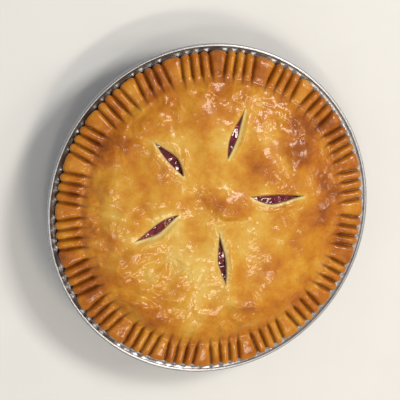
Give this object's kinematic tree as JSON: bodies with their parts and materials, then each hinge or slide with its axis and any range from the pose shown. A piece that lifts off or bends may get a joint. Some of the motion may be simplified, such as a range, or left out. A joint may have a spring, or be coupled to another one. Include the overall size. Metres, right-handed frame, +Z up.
{
  "type": "cherry pie in a foil tin",
  "caption": "Round double-crust cherry pie with a golden domed lid, a fork-crimped rim and a star of cut vents that show red filling, baked in its own foil tin.",
  "frame": {"origin": "centre of the tin's underside, on the surface that the pie stands on", "axes": "+Z up out of the lid; +X and +Y in the lid's plane, with one vent pointing along +X and one close to -Y"},
  "size_m": [0.2012, 0.2012, 0.0459],
  "materials": {
    "foil": "bright rolled foil with light wrinkles",
    "pastry": "baked pastry with a glossy egg wash, golden with browner edges",
    "cherry": "wet dark red cherry jelly"
  },
  "bodies": {
    "root": {"foil_tin": "foil", "crust": "pastry", "cherry_filling": "cherry"}
  },
  "joints": []
}
